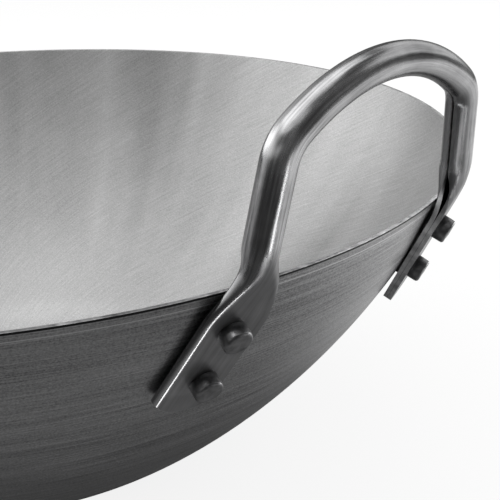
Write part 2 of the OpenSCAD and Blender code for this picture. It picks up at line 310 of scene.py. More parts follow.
brushedLook = {
    "tones": ("#9c9c9c", "#d2d2d2"), "toneReach": (1.25, 2.05),
    "scratchWidth": 0.0007,   # grit marks are about 0.1 mm wide, drawn coarser to show
    "scratchRun": 0.030,
    "scratchTurn": 58,        # degrees between a scratch and the rim
    "scratches": {"Scale": 1.0, "Detail": 3.0, "Roughness": 0.6}, "scratchShare": 0.8,
    "rays": {"Scale": 1.0, "Detail": 1.5, "Distortion": 0.4},
    "rayStretch": (55, 3.0, 1), "rayFoot": (0.006, 0.060), "rayMean": 0.5,   # 18 mm wide, gone on the base: rays of painted sheen
    "patches": {"Scale": 16.0, "Detail": 3.0, "Roughness": 0.55}, "patchShare": 0.4,   # 60 mm across
    "pits": {"Scale": 1400.0, "Detail": 2.0, "Roughness": 0.7}, "pitShare": 1.1,       # 0.7 mm apart
    "roughReach": (0.55, 1.2), "roughness": (0.38, 0.50),
    "bump": (0.5, 0.000015), "gloss": (0.5, 0.25),
}


def makeBrushedSteel(look):
    # the same sheet brushed by hand inside: paler satin with slanting grit marks, and soft rays of sheen painted
    # into its tone
    material, tree = emptyMaterial("brushedSheetSteelInside")
    place = addNode(tree, "ShaderNodeTexCoord").outputs["Object"]
    wallMap = addNode(tree, "ShaderNodeUVMap", uv_map="wallMap").outputs[0]
    turned = addNode(tree, "ShaderNodeMapping", {
        "Vector": wallMap, "Rotation": (0, 0, math.radians(look["scratchTurn"]))})
    stretched = addNode(tree, "ShaderNodeMapping", {
        "Vector": turned.outputs[0], "Scale": (1 / look["scratchRun"], 1 / look["scratchWidth"], 1)})
    scratches = addNode(tree, "ShaderNodeTexNoise", {"Vector": stretched.outputs[0], **look["scratches"]})
    # soft radial rays of painted sheen in the tone, fading out on the base
    rayPlace = addNode(tree, "ShaderNodeMapping", {"Vector": wallMap, "Scale": look["rayStretch"]})
    rays = addNode(tree, "ShaderNodeTexNoise", {"Vector": rayPlace.outputs[0], **look["rays"]})
    height = addNode(tree, "ShaderNodeSeparateXYZ", {0: place})
    onWall = addNode(tree, "ShaderNodeMapRange", {
        "Value": height.outputs["Z"], "From Min": look["rayFoot"][0], "From Max": look["rayFoot"][1]},
        interpolation_type="SMOOTHSTEP")
    faded = addNode(tree, "ShaderNodeMix", {0: onWall.outputs[0], 2: look["rayMean"], 3: rays.outputs["Fac"]},
                    data_type="FLOAT")
    patches = addNode(tree, "ShaderNodeTexNoise", {"Vector": place, **look["patches"]})
    pits = addNode(tree, "ShaderNodeTexNoise", {"Vector": place, **look["pits"]})
    tone = layer(tree, faded.outputs[0], (scratches, look["scratchShare"]), (patches, look["patchShare"]))
    colour = shadeBetween(tree, layer(tree, tone, (pits, look["pitShare"])), look["toneReach"], look["tones"])
    coatSteel(tree, look, colour, tone, scratches.outputs["Fac"], "wallMap")
    return material


drawnLook = {
    "tones": ("#7e7e7f", "#d0d0d1"), "toneReach": (0.6, 1.2),
    "streakWidth": 0.0009, "streakRun": 0.028,
    "streaks": {"Scale": 1.0, "Detail": 3.0, "Roughness": 0.6},
    "patches": {"Scale": 70.0, "Detail": 3.0, "Roughness": 0.55}, "patchShare": 0.8, "waveShare": 4.0,   # 14 mm
    "roughReach": (0.6, 1.2), "roughness": (0.17, 0.30),
    "bump": (0.5, 0.00002), "gloss": (0.3, 0.0),
    "tabTones": ("#6c6c6d", "#8c8c8d"), "dullRoughness": 0.33,   # pressed flat between dies and left satin
    "tabPastFold": (-0.0008, 0.0004), "tabPastKnee": (-0.008, 0.002),   # where the satin starts and is full
    "foldShadeTone": "#8c8c8d", "foldShadeBand": (0.0010, 0.0026),        # painted shade along the tab's sharp fold
    "seamShadeTone": "#646465", "seamShadeBand": (0.0070, 0.0025), "seamShadeShare": 0.85,   # painted shade by the two lips of the tube
}


def makeDrawnSteel(look, middle, knee, fold):
    # cold-rolled strip curled into a tube and tumbled bright: mirror-like bands with faint streaks along it,
    # dulled on the pressed faces of the tabs. In the strip's own map `middle` is its centre, and the pressed
    # faces lie further than `knee` from it lengthways and further than `fold` crossways
    material, tree = emptyMaterial("rolledBrightSteel")
    place = addNode(tree, "ShaderNodeTexCoord").outputs["Object"]
    stripMap = addNode(tree, "ShaderNodeUVMap", uv_map="stripMap").outputs[0]
    stretched = addNode(tree, "ShaderNodeMapping", {
        "Vector": stripMap, "Scale": (1 / look["streakWidth"], 1 / look["streakRun"], 1)})
    streaks = addNode(tree, "ShaderNodeTexNoise", {"Vector": stretched.outputs[0], **look["streaks"]})
    patches = addNode(tree, "ShaderNodeTexNoise", {"Vector": place, **look["patches"]})
    tone = layer(tree, streaks.outputs["Fac"], (patches, look["patchShare"]))
    colour = shadeBetween(tree, tone, look["toneReach"], look["tones"])
    tabColour = shadeBetween(tree, tone, look["toneReach"], look["tabTones"])
    fromMiddle = addNode(tree, "ShaderNodeVectorMath", {0: stripMap, 1: (*middle, 0)}, operation="SUBTRACT")
    reach = addNode(tree, "ShaderNodeVectorMath", {0: fromMiddle.outputs[0]}, operation="ABSOLUTE")
    parts = addNode(tree, "ShaderNodeSeparateXYZ", {0: reach.outputs[0]})
    # where the pressed faces begin, and bands of painted shade at the tab's fold and by the tube's lips
    pastFold, pastKnee, inFoldShade, bySeamShade = [addNode(tree, "ShaderNodeMapRange", {
        "Value": parts.outputs[axis], "From Min": start, "From Max": end, "To Min": low, "To Max": high},
        interpolation_type="SMOOTHSTEP").outputs[0] for axis, start, end, low, high in (
            ("X", fold + look["tabPastFold"][0], fold + look["tabPastFold"][1], 0.0, 1.0),
            ("Y", knee + look["tabPastKnee"][0], knee + look["tabPastKnee"][1], 0.0, 1.0),
            ("X", *look["foldShadeBand"], 1.0, 0.0),
            ("X", middle[0] - look["seamShadeBand"][0], middle[0] - look["seamShadeBand"][1], 0.0, look["seamShadeShare"]))]
    # the painted shade by the lips lies on the tube alone
    onTube = addNode(tree, "ShaderNodeMath", {0: 1.0, 1: pastKnee}, operation="SUBTRACT").outputs[0]
    pressed, foldShaded, seamShaded = [
        addNode(tree, "ShaderNodeMath", {0: across, 1: lengthways}, operation="MULTIPLY").outputs[0]
        for across, lengthways in ((pastFold, pastKnee), (inFoldShade, pastKnee), (bySeamShade, onTube))]
    # the pressed faces' satin, then the painted shade at the fold and by the lips
    for share, over in ((pressed, tabColour), (foldShaded, toLinear(look["foldShadeTone"])),
                        (seamShaded, toLinear(look["seamShadeTone"]))):
        colour = addNode(tree, "ShaderNodeMix", {0: share, 6: colour, 7: over}, data_type="RGBA").outputs[2]
    waves = layer(tree, streaks.outputs["Fac"], (patches, look["waveShare"]))
    coatSteel(tree, look, colour, tone, waves, "stripMap", pressed)
    return material


filedMarks = {"marks": {"Scale": 300.0, "Detail": 4.0}, "bump": (0.5, 0.00004)}   # file teeth 3 mm apart
coarseMarks = {"marks": {"Scale": 320.0, "Detail": 4.0, "Roughness": 0.6}, "bump": (0.6, 0.00012)}   # 3 mm wide
plainLooks = {
    # the bowl's cut rim, sheared and filed flat: a thin line, bright and dark by turns
    "filedSteelEdge": {"tones": ("#666667", "#bcbcbd"), "roughness": (0.3, 0.5), **filedMarks},
    # the strip's sheared edge, tumbled with the handle: a clean pale line
    "shearedStripEdge": {"tones": ("#a6a6a7", "#d2d2d3"), "roughness": (0.3, 0.5), **filedMarks},
    # rivets hammered up cold and left dull: mottled dark grey with soft highlights
    "hammeredRivetSteel": {"tones": ("#646465", "#929293"), "roughness": (0.3, 0.48), **coarseMarks},
    # inside the tube: nearly black and dull, painted shade in its hollow
    "paintedShadeInTube": {"tones": ("#1c1c1d", "#303031"), "roughness": (0.5, 0.7), **coarseMarks},
    # washers stamped from sheet: dark satin
    "stampedWasherSteel": {"tones": ("#4c4c4d", "#6c6c6d"), "roughness": (0.4, 0.6), **coarseMarks},
}


def makePlainSteel(name, look):
    material, tree = emptyMaterial(name)
    place = addNode(tree, "ShaderNodeTexCoord").outputs["Object"]
    marks = addNode(tree, "ShaderNodeTexNoise", {"Vector": place, **look["marks"]}).outputs["Fac"]
    coatSteel(tree, look, shadeBetween(tree, marks, look["toneReach"], look["tones"]), marks, marks)
    return material


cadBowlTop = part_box("bowl")[1][2]
wallTree = BVHTree.FromObject(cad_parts["bowl"], bpy.context.evaluated_depsgraph_get())
lineMarks = [placeOn(wallTree, *imagePoints[name][:2]) for name in ("turnedLineLeft", "turnedLineRight")]
brushedSteel = makeBrushedSteel(brushedLook)
spunSteel = makeSpunSteel(spunLook, (lineMarks[0].z + lineMarks[1].z) / 2, cadBowlTop)
plainReaches = {"toneReach": (0.3, 0.7), "roughReach": (0.0, 1.0)}
plainSteels = {name: makePlainSteel(name, {**look, **plainReaches}) for name, look in plainLooks.items()}
print("steels made")


# the bowl

bowl = {
    "rimRadius": 0.203, "depth": 0.145, "wall": 0.0016,
    "rimSlope": math.radians(21.8),   # from vertical
    "sideRadius": 0.308, "bendRadius": 0.060,
    "rimBevel": 0.0003, "rimSegments": 3,
    "sideSteps": 40, "bendSteps": 14, "turnSteps": 256,
    "baseRings": (0.75, 0.5, 0.25, 0.0),   # shares of the flat base's radius
    "cutBand": 0.0006, "cutFacing": (-0.1, 0.75),   # how far down the cut edge's faces lie and how they face
}
arcX = bowl["rimRadius"] - bowl["sideRadius"] * math.cos(bowl["rimSlope"])
arcZ = bowl["depth"] + bowl["sideRadius"] * math.sin(bowl["rimSlope"])
bendSlope = math.asin((arcZ - bowl["bendRadius"]) / (bowl["sideRadius"] - bowl["bendRadius"]))
bendX = arcX + (bowl["sideRadius"] - bowl["bendRadius"]) * math.cos(bendSlope)


def wallSlope(drop):
    return math.asin(math.sin(bowl["rimSlope"]) + drop / bowl["sideRadius"])


def wallRadius(slope):
    return bowl["rimRadius"] - bowl["sideRadius"] * (math.cos(bowl["rimSlope"]) - math.cos(slope))


def skinProfile(inset):  # from the rim down to the middle, at a depth inside the outer skin
    top = math.asin((arcZ - bowl["depth"]) / (bowl["sideRadius"] - inset))
    points = []
    for i in range(bowl["sideSteps"] + 1):
        a = blendTo(top, bendSlope, i / bowl["sideSteps"])
        r = bowl["sideRadius"] - inset
        points.append(Vector((arcX + r * math.cos(a), 0, arcZ - r * math.sin(a))))
    for i in range(1, bowl["bendSteps"] + 1):
        a = blendTo(bendSlope, math.pi / 2, i / bowl["bendSteps"])
        r = bowl["bendRadius"] - inset
        points.append(Vector((bendX + r * math.cos(a), 0, bowl["bendRadius"] - r * math.sin(a))))
    return points + [Vector((bendX * f, 0, inset)) for f in bowl["baseRings"]]


def makeBowl():
    bm = spinProfile(skinProfile(0)[::-1] + skinProfile(bowl["wall"]), bowl["turnSteps"])
    lips = [e for e in bm.edges if all(abs(v.co.z - bowl["depth"]) < sameSpot for v in e.verts)
            and abs(e.verts[0].co.xy.length - e.verts[1].co.xy.length) < sameSpot]
    roundEdges(bm, lips, bowl["rimBevel"], bowl["rimSegments"])
    wallMap = bm.loops.layers.uv.new("wallMap")
    for face in bm.faces:
        centre = face.calc_center_median()
        around = math.atan2(centre.y, centre.x)
        outward = face.normal.x * math.cos(around) + face.normal.y * math.sin(around)
        if centre.z > bowl["depth"] - bowl["cutBand"] and bowl["cutFacing"][0] < outward < bowl["cutFacing"][1]:
            face.material_index = 2   # the cut edge, square to the sheet
        elif face.normal.z > 0 and outward < bowl["cutFacing"][1]:
            face.material_index = 1   # the inside
        for loop in face.loops:
            co = loop.vert.co
            turn = math.atan2(co.y, co.x) if co.xy.length > sameSpot else around
            turn += math.tau * round((around - turn) / math.tau)
            # both in metres, turned at half the rim's radius, so that a pattern keeps its size
            loop[wallMap].uv = (turn * bowl["rimRadius"] / 2, co.xy.length + co.z)
    steels = [spunSteel, brushedSteel, plainSteels["filedSteelEdge"]]
    piece = finishPiece("bowlSheet", bm, steels, ["bowl"])
    shadeEvenly(piece)
    return piece


bowlPiece = makeBowl()
print("bowl spun,", len(bowlPiece.data.polygons), "faces")


# the rolled handles

handle = {
    "tube": 0.0104, "strip": 0.0016, "seamGap": 0.0006,
    "loopInset": 0.003, "legGap": 0.1044, "bend": 0.014,
    "legRise": 0.0338, "legLean": math.radians(10.5), "loopLean": math.radians(6),
    "cornerRadius": 0.0126, "topSlope": math.radians(33),
    "tabGap": 0.1106, "tabDrop": 0.0213, "tabWidth": 0.0204, "tabSplay": math.radians(17.8),
    "frontTabEnd": 0.0243, "backTabEnd": 0.0306, "tabEndRadius": 0.013, "layerGap": 0.0001,
    "thinAbove": 0.003, "thinBelow": 0.019, "wideBelow": 0.022,
    "standOff": 0.0006,       # the washers' thickness
    "halfSteps": 30, "flatSteps": 21,     # points across half of the strip, and those on its flat side
    "rings": (12, 4, 44, 8, 16, 22),      # on the tab's end, its flat, the neck, leg, corner and half the top
    "endFlat": 0.62,                      # share of the end's radius that its bowed rings take
    "neckFrom": 0.023, "neckTo": 0.012,   # the neck, below and above the knee
    "lineStep": 5e-5,
    "lipBevel": 0.0003, "lipSegments": 3, "lipAngle": math.radians(55),
}
tabThick = 2 * handle["strip"] + handle["layerGap"]
tabSlope = wallSlope(handle["tabDrop"])
tabAngle = math.asin(handle["tabGap"] / 2 / wallRadius(tabSlope))
tabRound = Matrix.Rotation(tabAngle, 3, "Z")
tabMiddle = Vector((wallRadius(tabSlope), 0, bowl["depth"] - handle["tabDrop"]))
wallOut = tabRound @ Vector((math.cos(tabSlope), 0, -math.sin(tabSlope)))
wallDown = tabRound @ Vector((-math.sin(tabSlope), 0, -math.cos(tabSlope)))
wallAlong = tabRound @ Vector((0, 1, 0))
tabUp = -(wallDown * math.cos(handle["tabSplay"]) + wallAlong * math.sin(handle["tabSplay"]))
tabFront = tabRound @ tabMiddle + wallOut * (handle["standOff"] + tabThick)
loopOut = Vector((math.cos(handle["loopLean"]), 0, -math.sin(handle["loopLean"])))
loopUp = Vector((math.sin(handle["loopLean"]), 0, math.cos(handle["loopLean"])))
legLean, topSlope, cornerRadius = handle["legLean"], handle["topSlope"], handle["cornerRadius"]
legUp = loopUp * math.cos(legLean) - Vector((0, 1, 0)) * math.sin(legLean)
legFront = (Vector((bowl["rimRadius"] - handle["loopInset"], handle["legGap"] / 2, bowl["depth"]))
            + loopOut * handle["tube"] / 2)

# the fronts of tab and leg meet at the knee
tabRun, legRun = tabUp.x / tabUp.z, legUp.x / legUp.z
kneeZ = (tabFront.x - tabRun * tabFront.z - legFront.x + legRun * legFront.z) / (legRun - tabRun)
tabKnee = tabFront + tabUp * (kneeZ - tabFront.z) / tabUp.z
legKnee = legFront + legUp * (kneeZ - legFront.z) / legUp.z
kneeRise = (kneeZ - tabFront.z) / tabUp.z
legLength = (bowl["depth"] + handle["legRise"] - kneeZ) / legUp.z
cornerStart = legKnee + legUp * legLength
cornerLength = cornerRadius * (math.pi / 2 - topSlope - legLean)
cornerY = cornerStart.y - cornerRadius * math.cos(legLean)
topRadius = (cornerY + cornerRadius * math.sin(topSlope)) / math.sin(topSlope)
topLength = topRadius * topSlope
cornerRise = legLength * math.cos(legLean) - cornerRadius * math.sin(legLean)
topRise = cornerRise + (cornerRadius - topRadius) * math.cos(topSlope)
halfLength = legLength + cornerLength + topLength
tubeMean = handle["tube"] - handle["strip"]   # across the middle of the sheet
seamAngle = math.asin(handle["seamGap"] / tubeMean)
stripHalf = tubeMean * (math.pi - seamAngle) / 2


def inLoop(y, rise, radius, a):
    across = Vector((0, y + radius * math.cos(a) - legKnee.y, 0))
    return legKnee + loopUp * (rise + radius * math.sin(a)) + across


def lineAt(w):  # the front line of the leg on +Y, at a length above the knee
    half = handle["bend"] / 2
    if w < -half:
        return tabKnee + tabUp * w
    if w < half:
        f = w / handle["bend"] + 0.5
        a, b = tabKnee - tabUp * half, tabKnee - tabUp * half / 3
        c, d = legKnee + legUp * half / 3, legKnee + legUp * half
        return a * (1 - f) ** 3 + b * 3 * f * (1 - f) ** 2 + c * 3 * f ** 2 * (1 - f) + d * f ** 3
    if w < legLength:
        return legKnee + legUp * w
    if w < legLength + cornerLength:
        turned = (w - legLength) / cornerRadius
        return inLoop(cornerY, cornerRise, cornerRadius, legLean + turned)
    turned = (w - legLength - cornerLength) / topRadius
    return inLoop(0, topRise, topRadius, math.pi / 2 - topSlope + turned)


def thinness(w):  # 0 on the tube, 1 on the pressed tab
    u = min(1.0, max(0.0, (handle["thinAbove"] - w) / (handle["thinAbove"] + handle["thinBelow"])))
    return 1 - (1 - u) ** 3 * (1 + 3 * u)


def halfStrip(thin, wide):  # half of the strip's middle line, from the lip of the seam to the outer fold
    r = blendTo(tubeMean, handle["strip"] + handle["layerGap"], thin) / 2
    reach = blendTo(handle["tube"], handle["tabWidth"], wide) / 2
    openness = (thin + wide) / 2
    lip = blendTo(seamAngle, math.pi / 2, openness)
    lipX = -(reach - (r + handle["strip"] / 2) * (1 - openness))
    foldX = reach - r - handle["strip"] / 2
    curl, flat = r * (math.pi / 2 - lip), foldX - lipX
    whole = curl + flat + r * math.pi / 2
    tabFlat = handle["tabWidth"] - tabThick / 2
    tabShare = tabFlat / (tabFlat + (handle["strip"] + handle["layerGap"]) / 2 * math.pi / 2)
    points = []
    for k in range(handle["halfSteps"] + 1):
        bunched = tabShare * k / handle["flatSteps"]
        if bunched > tabShare:
            past = (k - handle["flatSteps"]) / (handle["halfSteps"] - handle["flatSteps"])
            bunched = blendTo(tabShare, 1, past)
        s = whole * blendTo(k / handle["halfSteps"], bunched, openness)
        if s < curl:
            x, a = lipX, math.pi - lip - s / r
        elif s < curl + flat:
            x, a = lipX + s - curl, math.pi / 2
        else:
            x, a = foldX, math.pi / 2 - (s - curl - flat) / r
        points.append((x + r * math.cos(a), r * math.sin(a)))
    return points


def stripRing(w, end, share):
    # a line of points across the strip. Near a tab's end, `share` bows it to the rounded end
    along = (lineAt(w + handle["lineStep"]) - lineAt(w - handle["lineStep"])).normalized()
    rough = wallOut.lerp(loopOut, smoothStep((w + handle["bend"] / 2) / handle["bend"]))
    out = (rough - along * rough.dot(along)).normalized()
    side = along.cross(out)
    thin = thinness(w)
    middle = lineAt(w) - out * blendTo(handle["tube"], tabThick, thin) / 2
    half = halfStrip(thin, smoothStep(-w / handle["wideBelow"]))
    points = []
    for x, y in half + [(x, -y) for x, y in half[-2::-1]]:
        bow = 0.0
        if share > 0:
            reach = min(abs(x), handle["tabEndRadius"])
            deep = math.sqrt(handle["tabEndRadius"] ** 2 - reach ** 2)
            bow = (-kneeRise - (end - handle["tabEndRadius"] + deep) - w) * share
        points.append(middle + side * x + out * y + along * bow)
    return points


def legStations(end):  # the rings of one leg: length above the knee, and share of the bow
    endRings, flatRings, neckRings, legRings, cornerRings, topRings = handle["rings"]
    flatEnd = -(kneeRise + end - handle["tabEndRadius"] * handle["endFlat"])
    stations = [(flatEnd, smoothStep(1 - i / endRings)) for i in range(endRings)]
    stations += [(blendTo(flatEnd, -handle["neckFrom"], i / flatRings), 0) for i in range(flatRings)]
    stations += [(blendTo(-handle["neckFrom"], handle["neckTo"], i / neckRings), 0) for i in range(neckRings)]
    stations += [(blendTo(handle["neckTo"], legLength, i / legRings), 0) for i in range(legRings)]
    stations += [(legLength + cornerLength * i / cornerRings, 0) for i in range(cornerRings)]
    stations += [(legLength + cornerLength + topLength * i / topRings, 0) for i in range(topRings + 1)]
    return stations


def makeHandle(name, node, turn, material):
    rings = [(stripRing(w, handle["backTabEnd"], share), w) for w, share in legStations(handle["backTabEnd"])]
    for w, share in legStations(handle["frontTabEnd"])[-2::-1]:
        mirrored = [Vector((p.x, -p.y, p.z)) for p in stripRing(w, handle["frontTabEnd"], share)]
        rings.append((mirrored, 2 * halfLength - w))
    tubeRing = rings[sum(handle["rings"][:3])][0]   # the first above the neck, where the strip is evenly round
    runs = [0.0]
    for a, b in zip(tubeRing, tubeRing[1:]):
        runs.append(runs[-1] + (b - a).length)
    bm = bmesh.new()
    row, edges = drawLine(bm, rings[0][0])
    place = {v: (run, rings[0][1]) for v, run in zip(row, runs)}
    for points, w in rings[1:]:
        made = bmesh.ops.extrude_edge_only(bm, edges=edges)["geom"]
        fresh = {v for v in made if isinstance(v, bmesh.types.BMVert)}
        edges = [e for e in made if isinstance(e, bmesh.types.BMEdge) and all(v in fresh for v in e.verts)]
        row = [next(e.other_vert(v) for e in v.link_edges if e.other_vert(v) in fresh) for v in row]
        for v, p, run in zip(row, points, runs):
            v.co = p
            place[v] = (run, w)
    stripMap = bm.loops.layers.uv.new("stripMap")
    for face in bm.faces:
        for loop in face.loops:
            loop[stripMap].uv = place[loop.vert]
    bmesh.ops.recalc_face_normals(bm, faces=bm.faces)
    bmesh.ops.transform(bm, matrix=Matrix.Rotation(turn, 4, "Z"), verts=bm.verts)
    steels = [material, plainSteels["paintedShadeInTube"], plainSteels["shearedStripEdge"]]
    piece = finishPiece(name, bm, steels, [node])
    sheet = piece.modifiers.new("stripThickness", "SOLIDIFY")
    sheet.thickness = handle["strip"]
    sheet.offset = 0
    sheet.use_even_offset = True
    sheet.material_offset = 1       # the inner side, in painted shade
    sheet.material_offset_rim = 2   # the lips and ends
    lips = piece.modifiers.new("roundedLips", "BEVEL")
    lips.width = handle["lipBevel"]
    lips.segments = handle["lipSegments"]
    lips.limit_method = "ANGLE"
    lips.angle_limit = handle["lipAngle"]
    shadeEvenly(piece)
    return piece


pressedFrom = stripHalf * (1 - handle["flatSteps"] / handle["halfSteps"])
drawnSteel = makeDrawnSteel(drawnLook, (stripHalf, halfLength), halfLength, pressedFrom)
handlePieces = [makeHandle("handleRightStrip", "handle_right", 0.0, drawnSteel),
                makeHandle("handleLeftStrip", "handle_left", math.pi, drawnSteel)]
print("handles rolled,", len(handlePieces[0].data.polygons), "faces each")


# rivets and washers

rivet = {
    "pitch": 0.0216, "insets": (0.0004, 0.0025),   # upper and lower row
    "shank": 0.005,
    "headAcross": 0.0092, "headHeight": 0.0045, "headEdge": 0.0009, "edgeSegments": 5,
    "headTaper": (0.995, 0.97), "topRings": (0.7, 0.35, 0.0),   # shares of its radius, half way up and on top
    "innerAcross": 0.0100, "innerHeight": 0.0018, "innerEdge": 0.0007, "innerSteps": 8,
    "turnSteps": 48,
    "unevenness": 0.00016, "dents": 260, "seedStep": 7.3,   # how far hammering moves it, and dents to a metre
    "hammeredFrom": 0.0005, "dentSeed": 1,   # the same dents in every run
}


def rivetFrame(leg, row, turn):  # local Z along the rivet, out of the wall
    return (Matrix.Rotation(turn + leg * tabAngle, 4, "Z") @ Matrix.Translation(tabMiddle)
            @ Matrix.Rotation(tabSlope, 4, "Y") @ Matrix.Rotation(leg * handle["tabSplay"], 4, "X")
            @ Matrix.Translation((0, -leg * rivet["insets"][row], rivet["pitch"] * (0.5 - row)))
            @ Matrix.Rotation(math.pi / 2, 4, "Y"))


def makeRivet(name, leg, row, turn, seed):
    seat = handle["standOff"] + tabThick
    top = seat + rivet["headHeight"]
    back = -bowl["wall"]
    head, inner = rivet["headAcross"] / 2, rivet["innerAcross"] / 2
    waist, brow = (head * share for share in rivet["headTaper"])
    dome = (inner ** 2 + rivet["innerHeight"] ** 2) / (2 * rivet["innerHeight"])
    sweeps = [math.asin(inner / dome) * i / rivet["innerSteps"] for i in range(rivet["innerSteps"] + 1)]
    profile = [(dome * math.sin(a), back - rivet["innerHeight"] + dome * (1 - math.cos(a))) for a in sweeps]
    profile += [(inner, back + rivet["innerEdge"]), (rivet["shank"] / 2, back + rivet["innerEdge"])]
    profile += [(rivet["shank"] / 2, seat), (head, seat), (waist, seat + rivet["headHeight"] * 0.5), (brow, top)]
    profile += [(head * share, top) for share in rivet["topRings"]]
    bm = spinProfile([(x, 0, z) for x, z in profile], rivet["turnSteps"])
    corner = [e for e in bm.edges if all(abs(v.co.z - top) < sameSpot and abs(v.co.xy.length - brow) < sameSpot
                                         for v in e.verts)]
    roundEdges(bm, corner, rivet["headEdge"], rivet["edgeSegments"])
    for v in bm.verts:  # no two hammered heads are alike
        if v.co.z > seat + rivet["hammeredFrom"]:
            lift = (v.co.z - seat) / rivet["headHeight"]
            shove = noise.noise_vector(Vector(v.co) * rivet["dents"] + Vector((seed * rivet["seedStep"], 0, 0)))
            v.co += shove * rivet["unevenness"] * lift
    bmesh.ops.transform(bm, matrix=rivetFrame(leg, row, turn), verts=bm.verts)
    steels = [plainSteels["hammeredRivetSteel"]]
    piece = finishPiece("rivet_head_" + name, bm, steels, ["rivet_" + name])
    shadeEvenly(piece)
    return piece


rivetPieces = {}
noise.seed_set(rivet["dentSeed"])
for h, sideName in enumerate(("right", "left")):
    for g, legName in enumerate(("front", "back")):
        for row, rowName in enumerate(("upper", "lower")):
            name = "_".join((sideName, legName, rowName))
            rivetPieces[name] = makeRivet(name, 2 * g - 1, row, math.pi * h, 1 + row + 2 * g + 4 * h)
            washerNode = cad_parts["washer_" + name]
            washerNode.data.materials.clear()
            washerNode.data.materials.append(plainSteels["stampedWasherSteel"])
print("rivets set,", len(rivetPieces))


# studio

studio = {
    "floorHalf": 4.0, "floorTone": "#f2f2f2",
    "diffuseLevel": 0.95,      # what the world gives surfaces that scatter light
    "floorWhite": 0.85,        # share of pure white in the floor, the rest shows shadow
    "cardSteps": 64, "flagSteps": 24,
    # radius, height, tones, and which way and how far out one passes to the other
    "groundCards": {
        "groundCard": (1.6, 0.0002, ("#8a8a8a", "#f4f4f4"), (0.3, 0.95, 0), (0.08, 0.3)),   # dark by the camera
        "underCard": (0.17, 0.0004, ("#4c4c4c", "#4c4c4c"), (1, 0, 0), (0.0, 1.0)),   # the shadow under the bowl
    },
    # the wall round it all, in the same way: dark by the camera, pale at the left
    "wallCard": (1.6, 2.2, ("#5f5f5f", "#dcdcdc"), (-0.97, -0.25, 0), (0.5, 1.5)),
    "flagLift": 0.0006,
    "flags": {   # tone, from and to in degrees, near and far edge on the floor, height
        "cameraFlag": ("#4a4a4a", -112, -7, 0.33, 1.55, 0.45),   # behind the camera: the dark band down the leg
        "leftFlag": ("#2c2c2c", 148, 206, 1.50, 1.55, 0.34),     # at the left: the shade inside by the rim
    },
    "ceilingCard": (0.7, (0.95, 0.75, 1.7), "#585858"),   # half its side, place and tone
    "lamps": {   # place, what it aims at, size and brightness, where 1 is the white of the backdrop
        "overheadSoftbox": ((-0.15, 0.1, 1.3), (0, 0, 0), (1.2, 1.2), 0.8),
        "leftSoftbox": ((-1.35, -0.20, 0.52), (0.1, 0.05, 0.1), (1.0, 0.50), 1.4),
        "upperLeftSoftbox": ((-1.20, -0.55, 1.05), (0.05, 0.1, 0.1), (0.8, 0.7), 1.2),
        "sideSoftbox": ((-0.80, -1.10, 0.85), (0, 0.1, 0.1), (1.1, 0.7), 0.55),
        "backSoftbox": ((0.45, 1.35, 0.75), (0.2, 0, 0.2), (2.0, 1.1), 0.75),
        "frontSoftbox": ((0.25, -1.40, 0.78), (0, 0, 0.15), (2.2, 0.40), 0.38),
        "rimGlint": ((-0.15, 1.15, 1.0), (0.15, 0.1, 0.145), (0.8, 0.4), 5.5),
        "rivetGlintHigh": ((0.12, -0.60, 1.19), (0.19, -0.06, 0.12), (0.25, 0.25), 10.0),
        "rivetGlintLow": ((0.42, 0.75, 0.08), (0.2, -0.05, 0.12), (0.35, 0.15), 8.0),
    },
    # start, end, width and brightness of each light strip on the floor by the right handle
    "strips": (((0.200, -0.088), (0.300, -0.088), 0.030, 3.8), ((0.300, -0.090), (0.375, -0.125), 0.032, 3.4),
               ((0.375, -0.130), (0.400, -0.060), 0.026, 3.0), ((0.400, -0.060), (0.470, -0.030), 0.026, 3.4),
               ((0.470, -0.030), (0.760, -0.045), 0.050, 5.0)),
    "stripLift": 0.001,
}


def seenDirectly(tree):  # 1 for rays that meet the backdrop straight, through glass or in metal
    path = addNode(tree, "ShaderNodeLightPath")
    first = addNode(tree, "ShaderNodeMath", {0: path.outputs["Is Camera Ray"], 1: path.outputs["Is Glossy Ray"]},
                    operation="ADD")
    return addNode(tree, "ShaderNodeMath", {0: first.outputs[0], 1: path.outputs["Is Transmission Ray"]},
                   operation="ADD", use_clamp=True).outputs[0]


def makeWorld():
    world = bpy.data.worlds.new("whiteStudio")
    world.use_nodes = True
    tree = world.node_tree
    tree.nodes.clear()
    level = addNode(tree, "ShaderNodeMapRange", {
        "Value": seenDirectly(tree), "To Min": studio["diffuseLevel"], "To Max": 1.0})
    sky = addNode(tree, "ShaderNodeBackground", {"Color": toLinear("#ffffff"), "Strength": level.outputs[0]})
    addNode(tree, "ShaderNodeOutputWorld", {"Surface": sky.outputs[0]})
    scene.world = world


def makeFloor():
    material, tree = emptyMaterial("paleFloorPaper")
    paper = addNode(tree, "ShaderNodeBsdfDiffuse", {"Color": toLinear(studio["floorTone"])})
    white = addNode(tree, "ShaderNodeEmission", {"Color": toLinear("#ffffff"), "Strength": 1.0})
    share = addNode(tree, "ShaderNodeMath", {0: seenDirectly(tree), 1: studio["floorWhite"]},
                    operation="MULTIPLY")
    both = addNode(tree, "ShaderNodeMixShader", {0: share.outputs[0], 1: paper.outputs[0], 2: white.outputs[0]})
    addNode(tree, "ShaderNodeOutputMaterial", {"Surface": both.outputs[0]})
    bm = bmesh.new()
    bmesh.ops.create_grid(bm, x_segments=1, y_segments=1, size=studio["floorHalf"])
    makeObject("studioFloor", bm, [material])


